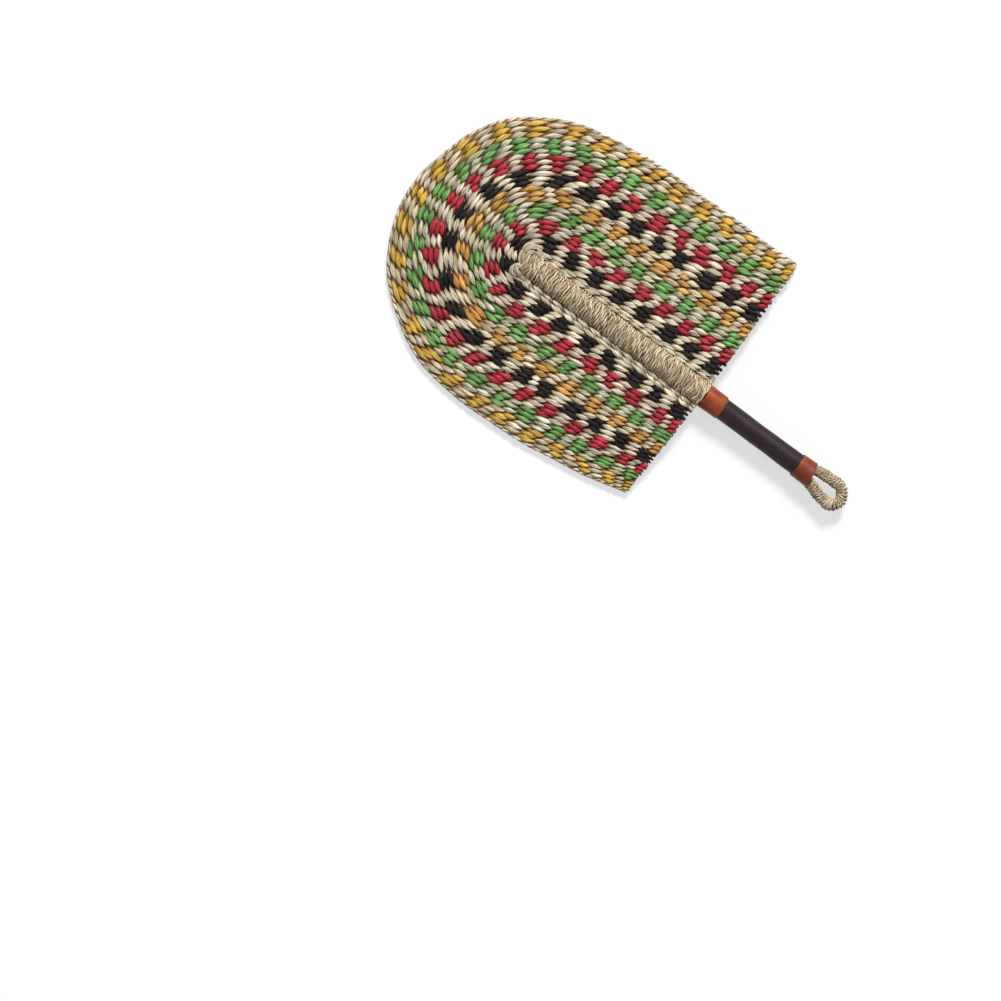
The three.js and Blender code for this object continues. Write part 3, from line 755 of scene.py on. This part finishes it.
def plain_strand(bm, row, lag, width, on_left):
    """One strand of a plain row, from the hem to the shoulder."""
    last = left_hem(HEAD_GAPS)
    count = np.linspace(LONG_END, LEG_TOP, round((LEG_TOP - LONG_END) * STEPS_PER_STITCH) + 1)
    seed = 11.9 * row + 3.1 * lag + 5 * on_left
    place = hem_places(count, 0, last, False, seed)
    if on_left:
        place = last - place
    turn = math.pi * (count - lag)
    swing = lean(turn) * PLAIN_SWING * (1 + drift(seed + 60, count * 0.6, 0.6))
    centre, away, _ = twined_path(row, count, place, HEAD_GAPS, turn, PLAIN_DEPTH, swing, seed)
    fullness = PLAIN_WAIST + (1 - PLAIN_WAIST) * np.abs(np.cos(turn)) ** FULLNESS
    breadth = width * fullness * (1 + drift(seed + 40, count * 1.3, UNEVEN))
    first = UV_PER_ROW * (lag - row / 2 + 5 * on_left)
    relief = folds(drift(seed + 80, count * 0.7, 9), 0.1)
    roll_strand(bm, centre, away, (breadth, PLAIN_THICKNESS), (first, first + count[-1]), relief=relief)


def head_strand(bm, points, face, first):
    """A strand over the head of the spine, on its front face (1) or its back (-1)."""
    path = smooth_path([(x, y, axis_height + face * z) for x, y, z in points], ARC_STEPS)
    outward = (path - np.array([0, HEAD_MIDDLE, axis_height])) * HEAD_SPREAD + np.array([0, 0, face])
    share = np.linspace(0, 1, ARC_STEPS + 1)
    belly = np.abs(np.sin(math.pi * (ARC_STITCHES * share + 0.31 * first))) ** 0.6
    path[:, 2] += face * ARC_BELLY * (belly - 1)
    width = ARC_WIDTH * (1 - 0.35 * share**2) * (ARC_WAIST + (1 - ARC_WAIST) * belly)
    size = width, ARC_THICKNESS * (1 - 0.3 * share)
    relief = folds(drift(first + 5, share * 3, 9), 0.12)
    roll_strand(bm, path, outward, size, (first - 0.49, first + 0.49), relief=relief)


for on_left, (side, width) in enumerate(PLAIN_WIDTHS.items()):
    plain = bmesh.new()
    for row in PLAIN_ROWS:
        for lag in (0, 1):
            plain_strand(plain, row, lag, width, on_left)
        shade_ribbon(plain, row - INNER_SHIFT, HEAD_GAPS, PLAIN_INNER, INNER_END, HEAD_TOP, on_left, 1)
    arcs = bmesh.new()
    for number, points in enumerate(HEAD_ARCS[side]):
        for face in (1, -1):
            head_strand(arcs, points, face, 20 * number + 7 * face + 90 * on_left)
    finishes = [natural_straw, shade_ribbon_finish]
    add_piece(f"twined_natural_{side}", plain, finishes, "natural_straw", f"weft_natural_{side}")
    add_piece(f"head_strands_{side}", arcs, [head_straw], "natural_straw", f"weft_natural_{side}")

# %% [markdown]
# The rim is one more pair of strands that closes the edge. It twists faster than the stakes come, because
# it lies outside the last of them, and it is loose and thick at the right hem, where the weaver finished
# it.

# %% Rim
RIM_ROW, RIM_PACE = 24.35, 1.7
RIM_DEPTH, RIM_SWING, RIM_WIDTH, RIM_THICKNESS = 0.85, 0.7, 2.4, 1.9
RIM_START, RIM_BEYOND = -0.55, 0.4
rim = bmesh.new()
for lag in (0, 1):
    last = left_hem(OUTER_GAPS)
    count = np.linspace(RIM_START, last + RIM_BEYOND, round((last + 1) * STEPS_PER_STITCH * RIM_PACE) + 1)
    turn = math.pi * (count * RIM_PACE - lag)
    swelling = 1 + 0.5 * np.exp(-((count + 0.5) / 2.5) ** 2) + drift(31 + lag, count * 0.8, 0.3)
    swing = np.sin(turn) * swelling * RIM_SWING
    centre, away, _ = twined_path(RIM_ROW, count, count, OUTER_GAPS, turn, RIM_DEPTH, swing, 33 + lag)
    span = count[0] * RIM_PACE, count[-1] * RIM_PACE
    relief = folds(drift(35 + lag, count, 9))
    roll_strand(rim, centre, away, (RIM_WIDTH * swelling, RIM_THICKNESS), span, relief=relief)
add_piece("twined_rim", rim, [rim_straw], "natural_straw", "rim_cord")

# %% [markdown]
# ## The wrapped spine
# The two half sticks of the spine are bound with one long cord, turn by turn from the hem to the head. An
# array of rings would look like a spring. One cord that climbs all the way, with turns that bend together,
# lie higher or lower and vary in thickness, looks wound by hand.

# %% Wind the spine
WRAP_LOW, WRAP_HIGH, WRAP_PITCH = -0.2, 174, 2.4
WRAP_HALF_WIDTH, WRAP_HALF_DEPTH, WRAP_WAIST = 8.75, 7.2, 0.5
WRAP_STEPS, WRAP_SIDES, WRAP_PLY = 66, 6, 0.88
turns = (WRAP_HIGH - WRAP_LOW) / WRAP_PITCH
count = np.linspace(0, turns, round(turns * WRAP_STEPS) + 1)
angle = TAU * count
swollen = WRAP_WAIST * (2 * count / turns - 1) ** 2 + wander(angle, count, 3, 1.6, 0.7)
bent_together = wander(angle, count, 11, 1.1, 1.5, 0.12)
climb = WRAP_LOW + WRAP_PITCH * count + bent_together + wander(angle, count, 15, 1.4, 0.6)
across = (WRAP_HALF_WIDTH + swollen) * np.cos(angle)
height = axis_height + (WRAP_HALF_DEPTH + swollen) * np.sin(angle)
centre = np.stack([across, climb, height], axis=-1)
outward = np.stack([np.cos(angle) / WRAP_HALF_WIDTH, 0 * angle, np.sin(angle) / WRAP_HALF_DEPTH], axis=-1)
twist = -TAU * SPINE_TWISTS * count + wander(angle, count, 29, 1.7, 2)
thickness = 1 + wander(angle, count, 37, 1.5, 0.3)
spine = bmesh.new()
twisted_cord(spine, centre, outward, twist, thickness, WRAP_PLY, WRAP_SIDES, turns)
add_piece("wrapped_spine", spine, [wrap_straw], "spine_straw", "spine_wrap_lower", "spine_wrap_upper")

# %% [markdown]
# ## The hanging loop
# The loop is a bent bundle of straw, wound with pale cord from neck to neck. Its middle line is given by a
# few points, as on the real one: two legs out of the grip, wider at the eye, and half a circle below. The
# whole loop leans to the left. The cord then winds round this line as the spine's does round the sticks.

# %% The middle line of the loop
HANDLE_BOTTOM, LEG_TUCK = -105.45, 1.5
LOOP_LENGTH, LOOP_LEAN = 33.8, 3.2
LOOP_NECK, LOOP_HALF_WIDTH, LOOP_CENTRE = 5.05, 8.45, -126.05
LOOP_TURNS, LOOP_STEPS, LOOP_RADIUS = 33, 44, 3.65
BEND_STEPS = 6
widening = (LOOP_NECK + 2 * LOOP_HALF_WIDTH) / 3, (HANDLE_BOTTOM + LOOP_CENTRE) / 2
leg = [(LOOP_NECK, HANDLE_BOTTOM + LEG_TUCK), widening]
bend = []
for step in range(BEND_STEPS + 1):
    turn = math.pi * step / BEND_STEPS
    bend.append((LOOP_HALF_WIDTH * math.cos(turn), LOOP_CENTRE - LOOP_HALF_WIDTH * math.sin(turn)))
line = leg + bend + [(-x, y) for x, y in reversed(leg)]
leaned = [(x - LOOP_LEAN * max(0, HANDLE_BOTTOM - y) / LOOP_LENGTH, y, axis_height) for x, y in line]
middle = smooth_path(leaned, LOOP_TURNS * LOOP_STEPS)
print("loop line is", round(float(np.sum(np.linalg.norm(np.diff(middle, axis=0), axis=1))), 1), "mm long")

# %% [markdown]
# On the left leg the end of the cord is fixed under a collar, a broad flat straw laid round the leg.

# %% Wind the loop
LOOP_PLY, LOOP_SIDES = 0.78, 8
COLLAR_START, COLLAR_END, COLLAR_WIDTH, COLLAR_RAISED = 0.635, 0.69, 4.2, 0.2
COLLAR_TURNS, COLLAR_STEPS, COLLAR_SIDES = 2.1, 60, 12


def round_the_loop(start, end, turns, steps):
    """Angle, middle line, direction along it and outward direction of a strand that winds round the loop."""
    share = np.linspace(start, end, steps)
    places = np.arange(len(middle)) / (len(middle) - 1)
    spot = sampled(middle, places, share)
    along = unit(sampled(np.gradient(middle, axis=0), places, share))
    angle = TAU * np.linspace(0, turns, steps)
    level = np.cross(along, [0, 0, 1.0])
    outward = level * np.cos(angle)[:, None] + np.array([0, 0, 1.0]) * np.sin(angle)[:, None]
    return angle, spot, along, outward


steps = LOOP_TURNS * LOOP_STEPS + 1
count = np.linspace(0, LOOP_TURNS, steps)
angle, spot, along, outward = round_the_loop(0, 1, LOOP_TURNS, steps)
radius = LOOP_RADIUS + wander(angle, count, 5, 1.5, 0.8)
centre = spot + outward * radius[:, None] + along * wander(angle, count, 17, 1.4, 1.2)[:, None]
twist = TAU * LOOP_TWISTS * count + wander(angle, count, 23, 1.6, 3)
thickness = 1 + wander(angle, count, 41, 1.4, 0.4)
loop = bmesh.new()
twisted_cord(loop, centre, outward, twist, thickness, LOOP_PLY, LOOP_SIDES, LOOP_TURNS)
angle, spot, along, outward = round_the_loop(COLLAR_START, COLLAR_END, COLLAR_TURNS, COLLAR_STEPS)
rounding = np.sin(np.linspace(0, math.pi, COLLAR_STEPS)) ** 0.3
centre = spot + outward * (LOOP_RADIUS + COLLAR_RAISED + 0.5 * rounding)[:, None]
size = COLLAR_WIDTH + wander(angle, angle, 3, 1, 1.2), 0.8 + 1.2 * rounding
roll_strand(loop, centre, outward, size, (90, 91.4), COLLAR_SIDES, 1, folds(3 * angle, 0.05))
add_piece("wrapped_loop", loop, [loop_straw, natural_straw], "loop_straw", "loop_wrap")

# %% [markdown]
# ## Leather
# The grip is a sleeve of dark leather, and two bands of orange leather close its ends. Leather is never
# quite even: it has a fine pebbled grain with creases, darker where hands and glue soaked in, lighter and
# smoother where it was pulled tight. Grain is made here from cells of two sizes and the tone from soft
# noise, all on Object coordinates, because the pieces never move and leather has no direction to follow.

# %% The leather finish
def leather(name, main, worn, deep, grain, roughness, gloss):
    """Leather with worn high places and deep low ones. Gloss is the strength of the clear dressing."""
    finish = Finish(name)
    place = finish.object_place()
    tone = finish.noise(place, 90.0, 4.0)
    streak = finish.add("ShaderNodeMapping", {}, Vector=place, Scale=(420.0, 45.0, 420.0))
    pull = finish.noise(streak, 1.0, 3.0)
    cells = finish.add("ShaderNodeTexVoronoi", {"feature": "DISTANCE_TO_EDGE"}, Vector=place, Scale=grain)
    pebbles = finish.spread(cells, 0.0, 0.3)
    pores = finish.noise(place, grain * 1.9, 3.0)
    surface = finish.blend(finish.spread(tone, 0.36, 0.64), deep, main)
    surface = finish.blend(finish.spread(pull, 0.5, 0.75, 0.0, 0.55), surface, worn)
    surface = finish.blend(finish.spread(pebbles, 0.0, 1.0, 0.3, 0.0), surface, deep)
    rough = finish.spread(tone, 0.3, 0.7, roughness + 0.08, roughness - 0.06)
    normal = finish.bump(pebbles * 0.4 + pores * 0.35 + pull * 0.6, strength=0.22, distance=0.18 * MM)
    finish.dress(Specular_IOR_Level=0.25, Coat_Weight=gloss, Coat_Roughness=0.4)
    return finish.dress(Base_Color=surface, Roughness=rough, Normal=normal)


orange_tones = rgb(170, 76, 22), rgb(196, 104, 46), rgb(112, 42, 16)
worn_tones = rgb(146, 66, 24), rgb(178, 94, 44), rgb(92, 34, 14)
brown_tones = rgb(36, 16, 20), rgb(58, 32, 37), rgb(21, 8, 11)
orange_leather = leather("leather_orange", *orange_tones, grain=2600, roughness=0.46, gloss=0.08)
worn_leather = leather("leather_orange_worn", *worn_tones, grain=2600, roughness=0.46, gloss=0.08)
brown_leather = leather("leather_brown", *brown_tones, grain=2400, roughness=0.5, gloss=0.03)
print("leather finishes: 3")

# %% [markdown]
# A sleeve is a profile turned round the spine: the spin operator does this in one step. The profile is
# drawn as a closed strip, bore and outside, so that the result has a wall. After the spin the vertices are
# moved a little: the edges curve and tilt as they were cut, the wall swells and sinks, and at the back the
# leather laps over itself along a seam. The operator numbers the vertices alike each time but not the
# faces, so these are sorted by their corners.

# %% Turn the sleeves
SLEEVE_STEPS = 64
LAP_WIDTH, LAP_HEIGHT = 0.55, 0.45
SWELLING, RAGGED_CUT = 0.25, 0.5
CUT_ROUNDING = 0.5


def sleeve_radius(radius, turn, place, seed):
    """The outside of a sleeve, swollen here and there and lapped over at the back."""
    swell = SWELLING * noise.noise(Vector((place.x * 0.12, place.y * 0.07, place.z * 0.12 + seed)))
    past_seam = (turn + math.pi / 2) / LAP_WIDTH
    lap = LAP_HEIGHT * (1 - past_seam) ** 0.5 if 0 <= past_seam < 1 else 0
    return radius + swell + lap


def face_number(corners, verts):
    """A number that no other face of a sleeve has, from its lowest and its highest corner."""
    return min(corners) * verts + max(corners)


def leather_sleeve(bore, outline, top_edge, bottom_edge, seed):
    """Turns an outline of (y, radius) points, top to bottom, round the spine.

    An edge is a pair: how far it droops in front, and how far it rises on the right.
    """
    bm = bmesh.new()
    profile = [(outline[0][0], bore), *outline, (outline[-1][0], bore)]
    verts = [bm.verts.new((radius, y, 0)) for y, radius in profile]
    edges = [bm.edges.new((verts[i], verts[i - 1])) for i in range(len(verts))]
    spin = {"cent": (0, 0, 0), "axis": (0, 1, 0), "angle": TAU, "steps": SLEEVE_STEPS, "use_merge": True}
    bmesh.ops.spin(bm, geom=verts + edges, **spin)
    bm.verts.index_update()
    bm.faces.sort(key=lambda face: face_number([vert.index for vert in face.verts], len(bm.verts)))
    top, bottom = outline[0][0], outline[-1][0]
    for vert in bm.verts:
        radius, turn = math.hypot(vert.co.x, vert.co.z), math.atan2(vert.co.z, vert.co.x)
        y = vert.co.y
        if radius > bore + 0.1:
            radius = sleeve_radius(radius, turn, vert.co, seed)
        low = (top - y) / (top - bottom)
        for share, (droop, rise) in (((1 - low) ** 2, top_edge), (low**2, bottom_edge)):
            uneven = noise.noise(Vector((2 * math.cos(turn), 2 * math.sin(turn), seed + droop)))
            tilt = rise * math.cos(turn) - droop * math.sin(turn)
            y += share * (tilt + RAGGED_CUT * uneven * (droop != 0))
        vert.co = to_frame((radius * math.cos(turn), y, axis_height + radius * math.sin(turn)))
    for face in bm.faces:
        face.smooth = True
    return bm


def sleeve_outline(top, bottom, radii, steps):
    """Points from top to bottom whose radius passes through the given ones. Both cut edges are rounded."""
    share = np.linspace(0, 1, steps)
    radius = np.interp(share, np.linspace(0, 1, len(radii)), radii)
    points = zip(top + (bottom - top) * share, radius)
    inside = [(y, r) for y, r in points if bottom + 2 * CUT_ROUNDING < y < top - 2 * CUT_ROUNDING]
    bevel = [(0, CUT_ROUNDING), (0.3 * CUT_ROUNDING, 0.3 * CUT_ROUNDING), (CUT_ROUNDING, 0)]
    start = [(top - along, radii[0] - inward) for along, inward in bevel]
    stop = [(bottom + along, radii[-1] - inward) for along, inward in reversed(bevel)]
    return start + inside + stop


FLAT = (0, 0)
BAND_BORE, GRIP_BORE = 8.95, 7.35
upper = sleeve_outline(-0.9, -17.4, [9.95, 9.85, 9.65, 9.55], 10)
grip = sleeve_outline(-1.4, -100.4, [8.65, 8.7, 8.6, 8.5, 8.6, 8.7, 8.65], 34)
lower = sleeve_outline(-90.5, -104.6, [9.7, 9.8, 9.95, 10.2], 10)
for name, finish, slot, node, *shape in (
    ("upper_band", orange_leather, "orange", "upper_band", BAND_BORE, upper, (0.5, 0), (1, 0.4), 1.7),
    ("grip", brown_leather, "brown", "grip_leather", GRIP_BORE, grip, FLAT, FLAT, 5.2),
    ("lower_band", worn_leather, "orange", "lower_band", BAND_BORE, lower, (0.7, 0), (0.4, 1.6), 8.9),
):
    add_piece(f"leather_{name}", leather_sleeve(*shape), [finish], f"{slot}_leather", node)

# %% [markdown]
# ## What lies inside
# The stakes, the two half sticks of the spine and the core of the loop are right as they came with the
# frame, so they stay. They only need a finish: dry sticks with a grain, made dark as painted shade where
# they show through the small gaps of the weave.

# %% Finish the inner solids
def stick(name, main, deep):
    """Dry wood or straw with a fine grain."""
    finish = Finish(name)
    place = finish.object_place()
    grain = finish.noise(place, 900.0, 5.0, 0.65)
    tone = finish.noise(place, 60.0)
    surface = finish.blend(finish.spread(grain, 0.35, 0.65, 0.0, 0.7), main, deep)
    surface = finish.blend(finish.spread(tone, 0.4, 0.7, 0.0, 0.5), surface, deep)
    normal = finish.bump(grain, strength=0.5, distance=0.3 * MM)
    return finish.dress(Base_Color=surface, Roughness=0.8, Normal=normal, Specular_IOR_Level=0.25)


# Dark colours for the sticks: painted shade where they show through the weave.
stake_finish = stick("stick_stakes", rgb(122, 100, 68), rgb(72, 54, 34))
core_finish = stick("stick_core", rgb(112, 88, 56), rgb(66, 48, 28))
for name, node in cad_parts.items():
    if "stake" in name or "core" in name:
        node.material_slots[0].material = stake_finish if "stake" in name else core_finish
print("inner solids finished")

# %% [markdown]
# ## Table, light and camera
# The fan lies on a white table and is seen straight from above. The light is plain: the sky gives a part of
# it from all sides and one wide lamp the rest, so a colour renders about as it was written. For the camera,
# and for mirrored and passing rays, the table is lifted to white by a weak emission that leaves the shadow.

# %% Table
TABLE_GAP, TABLE_REACH = 0.0004, 4.0
table_mesh = bmesh.new()
bmesh.ops.create_grid(table_mesh, x_segments=1, y_segments=1, size=TABLE_REACH)
mesh = bpy.data.meshes.new("table")
table_mesh.to_mesh(mesh)
table_mesh.free()
mesh.transform(Matrix.Translation((0, 0, -TABLE_GAP)))
table = add_object("table", mesh)


def seen(finish):
    """1 for the rays that should see a white background, 0 for the light that falls on the fan."""
    rays = finish.add("ShaderNodeLightPath", {})
    outputs = rays.socket.node.outputs
    camera, glossy, passing = (
        Wire(finish, outputs[f"Is {kind} Ray"]) for kind in ("Camera", "Glossy", "Transmission")
    )
    return finish.math("MAXIMUM", camera, finish.math("MAXIMUM", glossy, passing))


TABLE_WHITE, TABLE_LIFT = 0.38, 0.62
WHITE = (1, 1, 1, 1)
paper = Finish("table_paper")
paper.dress(Base_Color=(TABLE_WHITE, TABLE_WHITE, TABLE_WHITE, 1), Roughness=1.0, Specular_IOR_Level=0.0)
mesh.materials.append(paper.dress(Emission_Color=WHITE, Emission_Strength=seen(paper) * TABLE_LIFT))
print("table", TABLE_GAP / MM, "mm below the fan")

# %% [markdown]
# The sky is a plain world, seen as white but lighting at less than full strength. The lamp is a sun, wide
# enough for soft edges, low enough on the right to bring out the relief of the straw.

# %% Light
SKY_LIGHT, LAMP_LIGHT, LAMP_ANGLE = 0.34, 3.3, 14
LAMP_FROM = (0.82, 0.36, 0.80)
world = bpy.data.worlds.new("studio")
bpy.context.scene.world = world
sky = Finish("sky", world)
sky.dress("Background", Color=WHITE, Strength=seen(sky) * (1 - SKY_LIGHT) + SKY_LIGHT)

lamp_data = bpy.data.lights.new("key", "SUN")
lamp_data.energy = LAMP_LIGHT
lamp_data.angle = math.radians(LAMP_ANGLE)
lamp = add_object("key", lamp_data)
lamp.rotation_mode = "QUATERNION"
lamp.rotation_quaternion = Vector(LAMP_FROM).to_track_quat("Z", "Y")
print("sky", SKY_LIGHT, "lamp", LAMP_LIGHT)

# %% [markdown]
# The camera hangs above a point beside the fan, because the picture has other things in it, and it is
# turned so that the handle points down to the right. A long lens keeps the view flat.

# %% Camera
FRAME_WIDTH, CAMERA_HEIGHT, SENSOR = 0.781, 2.4, 36
AIM = (-0.1652, 0.0066, axis_height * MM)
TURN = math.atan2(0.802, 0.598)
camera_data = bpy.data.cameras.new("view")
camera_data.sensor_width = SENSOR
camera_data.lens = SENSOR * CAMERA_HEIGHT / FRAME_WIDTH
camera_data.clip_start, camera_data.clip_end = 0.05, 20
camera = add_object("view", camera_data)
above = Matrix.Translation((AIM[0], AIM[1], AIM[2] + CAMERA_HEIGHT))
camera.matrix_world = above @ Matrix.Rotation(-TURN, 4, "Z")
bpy.context.scene.camera = camera
bpy.context.scene.view_settings.view_transform = "Standard"
print("lens", round(camera_data.lens, 1), "mm")
